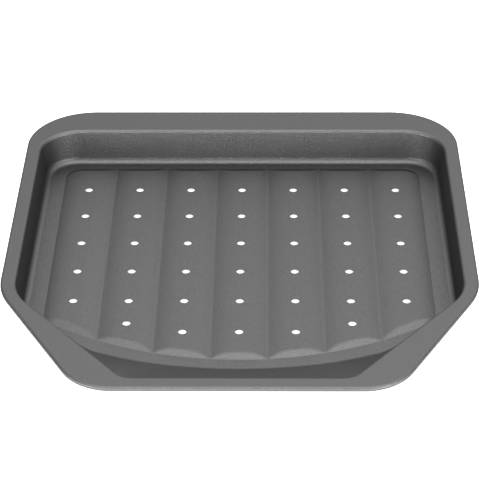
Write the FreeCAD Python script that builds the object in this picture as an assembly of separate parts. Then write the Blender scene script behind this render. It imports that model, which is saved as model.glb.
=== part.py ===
import FreeCAD, Part
import math
import os

# Oven chip tray: one pressed steel sheet. Millimetres, Z up, underside of the floor on Z = 0,
# serving front towards -Y.

# Sheet
sheet = 0.8                  # coated steel
depth = 27.0                 # from the floor's face up to the rim's face
draft = 7.0                  # degrees, back and side walls
floor_bend = 4.8             # inside radius between floor and wall
rim_bend = 2.3               # outside radius between wall and rim

# Perforated lobes, pressed up out of the floor
lobe_count = 7
lobe_pitch = 40.0
lobe_rise = 2.2
crest_flat = 8.0             # the vent holes are punched in this flat strip along each crest
valley_radius = 5.0          # rounding between two lobes
lobe_end_run = 6.0           # length of the slope that ends a lobe
lobe_end_round = 6.0         # rounding between a lobe's top and its end slope
lobe_foot_round = 6.0        # hollow rounding at the foot of that slope
lobe_foot_fall = 4.0         # degrees, how the rounding runs down into the sheet, for a clean joint
lobe_front_radius = 225.0    # their front ends lie on this arc
lobe_front_corner = 18.0     # rounding of the first and the last lobe, seen from above
lobe_back_corner = 14.0
sink = sheet / 2             # how far the pressed shape is drawn on into the sheet, for a clean joint

# Vent holes
hole_diameter = 6.0
row_pitch = 39.0
full_rows = 5
short_row_step = 39.0        # from the last full row to the middle three holes of the short row
short_row_outer_step = 28.6  # the same, to its two outer holes
hole_back_margin = 36.0      # from the first row back to the lobes' foot
hole_front_margin = 31.2     # from the short row forward to the lobes' foot

# Flat floor around the lobes
margin_back = 11.2
margin_side = 15.5
margin_front = 11.1
crease_radius = 270.0        # the floor's front edge is an arc
floor_back_corner = 24.0
floor_front_corner = 40.0

# Rim
ramp_run = 47.9              # the serving slope, from the floor's front edge to the rim
mouth_width = 154.8          # straight inner edge at the front, between its sharp corners
taper_length = 103.6         # over this length the inner edge narrows to the mouth
rim_back = 32.4
rim_side = 11.0
rim_front = 10.7
rim_shoulder_shift = 1.7     # the outer shoulder lies this far behind the inner one
rim_mouth_gain = 28.3        # the outer front corner lies this far outside the inner one
inner_back_corner = 32.0
inner_shoulder = 45.0
inner_mouth_corner = 15.0
outer_back_corner = 52.0
outer_shoulder = 60.0
outer_mouth_corner = 38.0
hem_radius = 1.8             # the outer edge is folded back under the rim
hem_return = 2.0             # flat part of the fold

offset_tolerance = 0.01

# Places, with lengths counted from the first row of holes
wall_run = depth * math.tan(math.radians(draft))
rim_face = sheet + depth
short_row = -(full_rows - 1) * row_pitch - short_row_step
lobe_back = hole_back_margin
lobe_front = short_row - hole_front_margin
floor_back = lobe_back + margin_back
floor_front = lobe_front - margin_front
inner_back = floor_back + wall_run
inner_front = floor_front - ramp_run
outer_back = inner_back + rim_back
outer_front = inner_front - rim_front
first_row = -(outer_back + outer_front) / 2      # the outline is centred on the origin

lobe_half = lobe_count * lobe_pitch / 2
floor_half = lobe_half + margin_side
inner_half = floor_half + wall_run
outer_half = inner_half + rim_side
mouth_half = mouth_width / 2
outer_mouth_half = mouth_half + rim_mouth_gain
inner_shoulder_y = inner_front + taper_length
outer_shoulder_y = inner_shoulder_y + rim_shoulder_shift


def at(x, y, z=0.0):
    """A point whose y is counted from the first row of holes."""
    return FreeCAD.Vector(x, y + first_row, z)


def line_edge(start, end):
    return Part.LineSegment(start, end).toShape()


def arc_edge(centre, radius, start, end):
    """Level arc about centre, from angle start to angle end in degrees."""
    def spot(angle):
        turn = math.radians(angle)
        return centre + FreeCAD.Vector(radius * math.cos(turn), radius * math.sin(turn), 0)
    return Part.Arc(spot(start), spot((start + end) / 2), spot(end)).toShape()


def closed_wire(right):
    """The right half's edges, from back to front, closed by their mirror images."""
    left = [edge.mirror(FreeCAD.Vector(), FreeCAD.Vector(1, 0, 0)) for edge in reversed(right)]
    return Part.Wire(right + left)


def arc_front(half, front, radius, corner):
    """Where a side at x = half, rounded by corner, runs into a front arc: the centres and the angle."""
    arc_y = front + radius
    corner_x = half - corner
    corner_y = arc_y - math.sqrt((radius - corner) ** 2 - corner_x ** 2)
    meeting = math.degrees(math.atan2(corner_y - arc_y, corner_x))
    return corner_x, corner_y, arc_y, meeting


# The tapered inner edge, with its tangent points, and the direction that it faces
taper_slope = math.degrees(math.atan2(taper_length, inner_half - mouth_half))
taper_face = taper_slope - 90
shoulder_tangent = inner_shoulder * math.tan(math.radians(90 - taper_slope) / 2)
mouth_tangent = inner_mouth_corner * math.tan(math.radians(taper_slope) / 2)
taper_run = math.hypot(inner_half - mouth_half, taper_length) - shoulder_tangent - mouth_tangent
mouth_arc_run = inner_mouth_corner * math.radians(taper_slope)
mouth_run = mouth_half - mouth_tangent

# The floor's front edge is shared out along the rim's in proportion, so the ramp has no kink
corner_x, corner_y, crease_y, crease_end = arc_front(
    floor_half, floor_front, crease_radius, floor_front_corner)
corner_run = floor_front_corner * math.radians(taper_face - crease_end)
crease_run = crease_radius * math.radians(crease_end + 90)
share = (corner_run + crease_run) / (taper_run + mouth_arc_run + mouth_run)
crease_split_mouth = -90 + math.degrees(share * mouth_run / crease_radius)
crease_split_taper = crease_split_mouth + math.degrees(share * mouth_arc_run / crease_radius)


def floor_edges(z):
    """Edge of the floor, right half."""
    back = at(floor_half - floor_back_corner, floor_back - floor_back_corner, z)
    corner = at(corner_x, corner_y, z)
    crease = at(0, crease_y, z)
    return [
        line_edge(at(0, floor_back, z), at(back.x, floor_back, z)),
        arc_edge(back, floor_back_corner, 90, 0),
        line_edge(at(floor_half, floor_back - floor_back_corner, z), at(floor_half, corner_y, z)),
        arc_edge(corner, floor_front_corner, 0, taper_face),
        arc_edge(corner, floor_front_corner, taper_face, crease_end),
        arc_edge(crease, crease_radius, crease_end, crease_split_taper),
        arc_edge(crease, crease_radius, crease_split_taper, crease_split_mouth),
        arc_edge(crease, crease_radius, crease_split_mouth, -90),
    ]


def inner_edges(z):
    """Inner edge of the rim, right half, divided to match the floor's edge."""
    back = at(inner_half - inner_back_corner, inner_back - inner_back_corner, z)
    shoulder_y = inner_shoulder_y + shoulder_tangent
    shoulder = arc_edge(at(inner_half - inner_shoulder, shoulder_y, z), inner_shoulder, 0, taper_face)
    mouth = arc_edge(
        at(mouth_run, inner_front + inner_mouth_corner, z), inner_mouth_corner, taper_face, -90)
    start = shoulder.lastVertex(True).Point
    stop = mouth.firstVertex(True).Point
    split = start + (stop - start) * (corner_run / share / taper_run)
    return [
        line_edge(at(0, inner_back, z), at(back.x, inner_back, z)),
        arc_edge(back, inner_back_corner, 90, 0),
        line_edge(at(inner_half, inner_back - inner_back_corner, z), at(inner_half, shoulder_y, z)),
        shoulder,
        line_edge(start, split),
        line_edge(split, stop),
        mouth,
        line_edge(at(mouth_run, inner_front, z), at(0, inner_front, z)),
    ]


def outer_edges(z, inset):
    """Outer edge of the rim, right half, drawn in by inset."""
    slope = math.degrees(math.atan2(outer_shoulder_y - outer_front, outer_half - outer_mouth_half))
    shoulder_y = outer_shoulder_y + outer_shoulder * math.tan(math.radians(90 - slope) / 2)
    mouth_x = outer_mouth_half - outer_mouth_corner * math.tan(math.radians(slope) / 2)
    back = arc_edge(
        at(outer_half - outer_back_corner, outer_back - outer_back_corner, z),
        outer_back_corner - inset, 90, 0)
    shoulder = arc_edge(
        at(outer_half - outer_shoulder, shoulder_y, z), outer_shoulder - inset, 0, slope - 90)
    mouth = arc_edge(
        at(mouth_x, outer_front + outer_mouth_corner, z), outer_mouth_corner - inset, slope - 90, -90)
    arcs = [back, shoulder, mouth]
    stops = [arc.firstVertex(True).Point for arc in arcs] + [at(0, outer_front + inset, z)]
    edges = []
    here = at(0, outer_back - inset, z)
    for arc, stop in zip(arcs, stops):
        edges += [line_edge(here, stop), arc]
        here = arc.lastVertex(True).Point
    return edges + [line_edge(here, stops[-1])]


tiny = 1e-4


def middle(edge):
    return edge.valueAt((edge.FirstParameter + edge.LastParameter) / 2)


def level_edges(shape, ring):
    """Edges of a shape that lie level with a ring, but not on it."""
    z = ring.BoundBox.ZMin
    return [edge for edge in shape.Edges
            if abs(edge.BoundBox.ZMin - z) < tiny and abs(edge.BoundBox.ZMax - z) < tiny
            and ring.distToShape(Part.Vertex(middle(edge)))[0] > tiny]


def make_hollow():
    """The space inside the tray. Its straight walls are made anew as true flat faces."""
    loft = Part.makeLoft([closed_wire(floor_edges(sheet)), closed_wire(inner_edges(rim_face))], True, True)
    faces = []
    for face in loft.Faces:
        plane = face.findPlane()
        straight = all(edge.BoundBox.DiagonalLength < edge.Length + tiny for edge in face.Edges)
        faces.append(Part.Face(plane, face.OuterWire) if plane and straight else face)
    shell = Part.Shell(faces)
    shell.sewShape()
    return Part.Solid(shell)


def make_form():
    """What the sheet is pressed over, upside down: the hollow of the tray and all above the rim."""
    hollow = make_hollow()
    beyond = closed_wire(outer_edges(rim_face, -rim_back))
    form = hollow.fuse(Part.Face(beyond).extrude(FreeCAD.Vector(0, 0, depth)))
    form = form.makeFillet(rim_bend, level_edges(form, beyond))
    top = beyond.translated(FreeCAD.Vector(0, 0, -depth))
    return form.makeFillet(floor_bend, level_edges(form, top))


def make_hem():
    """The rim's outer edge: a strip bent down and back in under the rim."""
    path = closed_wire(outer_edges(rim_face - hem_radius, hem_radius))
    axis = at(0, outer_back - hem_radius, rim_face - hem_radius)
    back = FreeCAD.Vector(0, -hem_return, 0)

    def half_turn(radius):
        """Top, outermost point and underside of the bend."""
        return [axis + FreeCAD.Vector(0, radius * y, radius * z) for y, z in ((0, 1), (1, 0), (0, -1))]

    outside = half_turn(hem_radius)
    inside = half_turn(hem_radius - sheet)
    section = Part.Wire([
        Part.Arc(*outside).toShape(),
        line_edge(outside[-1], outside[-1] + back),
        line_edge(outside[-1] + back, inside[-1] + back),
        line_edge(inside[-1] + back, inside[-1]),
        Part.Arc(*reversed(inside)).toShape(),
        line_edge(inside[0], outside[0]),
    ])
    return path.makePipeShell([section], True, False)


def make_pan():
    """Floor, walls, rim and hem, before the lobes are pressed."""
    form = make_form()
    rim_outline = Part.Face(closed_wire(outer_edges(0, hem_radius)))
    blank = rim_outline.extrude(FreeCAD.Vector(0, 0, rim_face))
    pan = form.makeOffsetShape(sheet, offset_tolerance).cut(form).common(blank)
    return pan.fuse(make_hem()).removeSplitter()


def make_arches(reach):
    """The lobes' arched section, with rounded valleys, drawn out past both ends."""
    half_pitch = lobe_pitch / 2
    half_flat = crest_flat / 2
    flank = half_pitch - half_flat
    radius = (flank ** 2 + lobe_rise ** 2) / (2 * lobe_rise)
    crest_z = lobe_rise - radius
    valley_z = crest_z + math.sqrt((radius + valley_radius) ** 2 - flank ** 2)
    lean = math.atan2(flank, valley_z - crest_z)
    foot = math.acos((-sink - crest_z) / radius)

    def arc(x, z, size, start, end):
        spots = [at(x + size * math.sin(turn), lobe_back + reach, z + size * math.cos(turn))
                 for turn in (start, (start + end) / 2, end)]
        return Part.Arc(*spots).toShape()

    edges = []
    for number in range(lobe_count):
        x = (number + 0.5) * lobe_pitch - lobe_half
        first = number == 0
        last = number == lobe_count - 1
        rise = arc(x - half_flat, crest_z, radius, -foot if first else -lean, 0)
        fall = arc(x + half_flat, crest_z, radius, 0, foot if last else lean)
        edges += [rise, line_edge(rise.lastVertex(True).Point, fall.firstVertex(True).Point), fall]
        if not last:
            edges.append(arc(x + half_pitch, valley_z, -valley_radius, lean, -lean))
    edges.append(line_edge(edges[-1].lastVertex(True).Point, edges[0].firstVertex(True).Point))
    length = lobe_back - lobe_front + 2 * reach
    return Part.Face(Part.Wire(edges)).extrude(FreeCAD.Vector(0, -length, 0))


def make_lobes():
    """The lobes as one solid, with sloped and rounded ends. Their feet are on Z = 0."""
    spread = lobe_end_run / lobe_rise
    low = -sheet
    high = 1.5 * lobe_rise
    slope = math.atan(1 / spread)
    fall = math.radians(lobe_foot_fall)
    reach = sink / math.tan(fall)

    def end_profile(foot):
        """Section from an axis out to a lobe's sloped end, whose foot lies at this distance from it."""
        tangent = lobe_foot_round * math.tan((slope - fall) / 2)
        tilt = (slope + fall) / 2
        sag = lobe_foot_round * (1 / math.cos((slope - fall) / 2) - 1)
        top = FreeCAD.Vector(foot - high * spread, 0, high)
        upper = FreeCAD.Vector(foot - tangent * math.cos(slope), 0, tangent * math.sin(slope))
        waist = FreeCAD.Vector(foot + sag * math.sin(tilt), 0, sag * math.cos(tilt))
        lower = FreeCAD.Vector(foot + tangent * math.cos(fall), 0, -tangent * math.sin(fall))
        toe = FreeCAD.Vector(foot - low / math.tan(fall), 0, low)
        axis_low = FreeCAD.Vector(0, 0, low)
        axis_high = FreeCAD.Vector(0, 0, high)
        return Part.Face(Part.Wire([
            line_edge(axis_high, top),
            line_edge(top, upper),
            Part.Arc(upper, waist, lower).toShape(),
            line_edge(lower, toe),
            line_edge(toe, axis_low),
            line_edge(axis_low, axis_high),
        ]))

    def round_end(centre, radius):
        turned = end_profile(radius).revolve(FreeCAD.Vector(), FreeCAD.Vector(0, 0, 1), 360)
        return turned.translated(centre)

    arches = make_arches(reach)
    front = round_end(at(0, lobe_front + lobe_front_radius), lobe_front_radius)
    length = lobe_back - lobe_front + lobe_front_radius
    section = end_profile(length).rotated(FreeCAD.Vector(), FreeCAD.Vector(0, 0, 1), 90)
    back = section.translated(at(-outer_half, lobe_back - length)).extrude(FreeCAD.Vector(2 * outer_half, 0, 0))
    ends = front.common(back)
    lobes = arches.common(ends)
    tops = []
    for edge in lobes.Edges:
        spot = Part.Vertex(middle(edge))
        above_foot = spot.Z > 0
        on_both = arches.Shells[0].distToShape(spot)[0] < tiny and ends.Shells[0].distToShape(spot)[0] < tiny
        if above_foot and on_both:
            tops.append(edge)
    lobes = lobes.makeFillet(lobe_end_round, tops)

    def corner_waste(x, y, radius, start, end):
        """What a lobe's rounded corner leaves out, between two directions in degrees."""
        def spot(angle, length):
            turn = math.radians(angle)
            return at(x + length * math.cos(turn), y + length * math.sin(turn), low)
        span = 2 * radius
        bisector = (start + end) / 2
        peak = span / math.cos(math.radians(end - start) / 2)
        outline = [at(x, y, low), spot(start, span), spot(bisector, peak), spot(end, span), at(x, y, low)]
        block = Part.Face(Part.makePolygon(outline)).extrude(FreeCAD.Vector(0, 0, high - low))
        return block.cut(round_end(at(x, y), radius))

    x, y, arc_y, meeting = arc_front(lobe_half, lobe_front, lobe_front_radius, lobe_front_corner)
    wastes = [
        corner_waste(x, y, lobe_front_corner, meeting, 0),
        corner_waste(lobe_half - lobe_back_corner, lobe_back - lobe_back_corner, lobe_back_corner, 0, 90),
    ]
    for waste in wastes:
        lobes = lobes.cut(waste).cut(waste.mirror(FreeCAD.Vector(), FreeCAD.Vector(1, 0, 0)))
    return lobes


def make_holes():
    """Cutters for the vent holes."""
    outermost = lobe_count // 2
    places = [(column, -row * row_pitch)
              for row in range(full_rows) for column in range(-outermost, outermost + 1)]
    places += [(column, short_row) for column in (-1, 0, 1)]
    places += [(column, -(full_rows - 1) * row_pitch - short_row_outer_step) for column in (-2, 2)]
    return [Part.makeCylinder(hole_diameter / 2, depth, at(column * lobe_pitch, y)) for column, y in places]


lobes = make_lobes()
tray = make_pan().fuse(lobes.translated(FreeCAD.Vector(0, 0, sheet))).cut(lobes)
tray = tray.removeSplitter().cut(make_holes())

os.makedirs("parts", exist_ok=True)
for name, piece in {"chip_tray": tray.Solids[0]}.items():
    piece.exportStep("parts/" + name + ".step")
    print(name, piece.isValid(), len(tray.Solids), round(piece.Volume), piece.optimalBoundingBox())
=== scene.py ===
from math import cos, radians, sin

import bpy
from mathutils import Matrix, Vector

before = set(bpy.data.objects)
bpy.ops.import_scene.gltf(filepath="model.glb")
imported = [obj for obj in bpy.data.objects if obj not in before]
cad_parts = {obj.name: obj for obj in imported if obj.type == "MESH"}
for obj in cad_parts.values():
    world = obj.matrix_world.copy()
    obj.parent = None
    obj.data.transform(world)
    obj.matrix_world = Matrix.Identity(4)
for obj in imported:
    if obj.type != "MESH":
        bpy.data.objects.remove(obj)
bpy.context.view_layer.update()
scene = bpy.context.scene
print("frame loaded")


# Shader maths as plain expressions

class Link:
    def __init__(self, sheet, socket):
        self.sheet = sheet
        self.socket = socket

    def maths(self, operation, *values):
        return self.sheet.node("ShaderNodeMath", {"operation": operation}, *values)

    def exp(self):
        return self.maths("EXPONENT", self)

    def __add__(self, other):
        return self.maths("ADD", self, other)

    def __sub__(self, other):
        return self.maths("SUBTRACT", self, other)

    def __rsub__(self, other):
        return self.maths("SUBTRACT", other, self)

    def __mul__(self, other):
        return self.maths("MULTIPLY", self, other)

    __radd__ = __add__
    __rmul__ = __mul__


class NodeSheet:
    def __init__(self, owner):
        owner.use_nodes = True
        self.tree = owner.node_tree
        self.tree.nodes.clear()

    def node(self, kind, settings=None, *values, out=0, **named):
        made = self.tree.nodes.new(kind)
        for name, value in (settings or {}).items():
            if name == "stops":
                self.setStops(made.color_ramp, value)
            else:
                setattr(made, name, value)
        for index, value in enumerate(values):
            self.feed(made.inputs[index], value)
        for name, value in named.items():
            self.feed(made.inputs[name.replace("_", " ")], value)
        return Link(self, made.outputs[out]) if made.outputs else None

    def feed(self, socket, value):
        if isinstance(value, Link):
            self.tree.links.new(value.socket, socket)
        else:
            socket.default_value = value

    def setStops(self, ramp, stops):
        while len(ramp.elements) < len(stops):    # a new ramp has two
            ramp.elements.new(stops[-1][0])
        for element, (place, level) in zip(ramp.elements, stops):
            element.position = place
            element.color = (level, level, level, 1)


# The coat

coat = {
    "speckle": [(0.3, 0.123), (0.7, 0.157)],    # noise and grey, darkest and lightest grains
    "metallic": 1.0,
    "roughness": 0.44,
    "edgeTint": (0.25, 0.25, 0.25, 1),    # less gloss at a slant than bare metal
    "grain": 900.0,            # grains in a metre
    "grainDetail": 2.0,        # finer layers in the grain
    "grainRoughness": 0.6,     # how much each finer layer counts
    "grainDepth": 0.0003,      # metres
}


def coatMaterial():
    material = bpy.data.materials.new("darkNonStickCoat")
    sheet = NodeSheet(material)
    place = sheet.node("ShaderNodeTexCoord", out="Object")
    grain = sheet.node(
        "ShaderNodeTexNoise", None,
        Vector=place, Scale=coat["grain"],
        Detail=coat["grainDetail"], Roughness=coat["grainRoughness"])
    speckle = sheet.node("ShaderNodeValToRGB", {"stops": coat["speckle"]}, grain)
    bump = sheet.node("ShaderNodeBump", None, Distance=coat["grainDepth"], Height=grain)
    shader = sheet.node(
        "ShaderNodeBsdfPrincipled", None,
        Base_Color=speckle, Metallic=coat["metallic"], Roughness=coat["roughness"],
        Specular_Tint=coat["edgeTint"], Normal=bump)
    sheet.node("ShaderNodeOutputMaterial", None, shader)
    return material


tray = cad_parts["chip_tray"]
tray.data.materials.clear()
tray.data.materials.append(coatMaterial())
print("tray coated")


# The floor, a lit table that stays white under the holes

floor = {
    "size": 6.0,               # metres
    "drop": 0.0005,            # metres below the tray, so no two faces lie in one plane
    "grey": (0.9, 0.9, 0.9, 1),
    "roughness": 0.9,
    "light": (1, 1, 1, 1),
    "glow": 1.0,
}


def layFloor():
    bpy.ops.mesh.primitive_plane_add(size=floor["size"], location=(0, 0, -floor["drop"]))
    plane = bpy.context.object
    plane.name = "paleFloor"
    bpy.ops.object.transform_apply(location=True)
    material = bpy.data.materials.new("litTable")
    sheet = NodeSheet(material)
    shader = sheet.node(
        "ShaderNodeBsdfPrincipled", None,
        Base_Color=floor["grey"], Roughness=floor["roughness"],
        Emission_Color=floor["light"], Emission_Strength=floor["glow"])
    sheet.node("ShaderNodeOutputMaterial", None, shader)
    plane.data.materials.append(material)


# The light, soft boxes painted on the sky

sky = {
    # brightness, narrowness round, narrowness up, degrees round from +X, degrees up
    "rightFrontStrip": (19.0, 5.7, 44.0, 316, 1),
    "leftFrontStrip": (20.0, 5.6, 44.0, 226, 0),
    "overheadBox": (2.1, 1.1, 13.0, 350, 62),
    "highFrontBox": (1.6, 6.0, 0.0, 270, 76),
    "lowBackBox": (1.8, 5.0, 1.0, 86, 10),
    "lowBackStrip": (2.0, 4.0, 54.0, 84, 7),
}


def hangSky():
    world = bpy.data.worlds.new("softStudio")
    scene.world = world
    sheet = NodeSheet(world)
    direction = sheet.node("ShaderNodeTexCoord", out="Generated")
    height = sheet.node("ShaderNodeSeparateXYZ", None, direction, out="Z")
    glow = 0.0
    for bright, narrowRound, narrowUp, around, up in sky.values():
        turn, rise = radians(around), radians(up)
        toBox = Vector((cos(turn) * cos(rise), sin(turn) * cos(rise), sin(rise)))
        near = sheet.node(
            "ShaderNodeVectorMath", {"operation": "DOT_PRODUCT"}, direction, toBox, out="Value")
        above = height - sin(rise)
        glow = glow + bright * ((near - 1) * narrowRound - above * above * narrowUp).exp()
    shader = sheet.node("ShaderNodeBackground", None, glow)
    sheet.node("ShaderNodeOutputWorld", None, shader)


# The camera, at the photo's angle

camera = {
    "place": (0.02011, -1.28164, 0.82820),    # metres
    "down": 32.4,              # degrees below level
    "turn": 0.93,              # degrees to the left
    "tilt": -0.46,             # degrees round the line of sight
    "lens": 148.33,            # millimetres
    "sensor": 36.0,            # millimetres
    "clipStart": 0.05,         # metres
}


def aimCamera():
    data = bpy.data.cameras.new("studioCamera")
    data.lens = camera["lens"]
    data.sensor_width = camera["sensor"]
    data.clip_start = camera["clipStart"]
    made = bpy.data.objects.new("studioCamera", data)
    scene.collection.objects.link(made)
    turn = Matrix.Rotation(radians(camera["turn"]), 4, "Z")
    down = Matrix.Rotation(radians(90 - camera["down"]), 4, "X")
    tilt = Matrix.Rotation(radians(camera["tilt"]), 4, "Z")
    made.matrix_world = Matrix.Translation(Vector(camera["place"])) @ turn @ down @ tilt
    scene.camera = made


layFloor()
hangSky()
aimCamera()
scene.view_settings.view_transform = "Standard"
print("stage set")
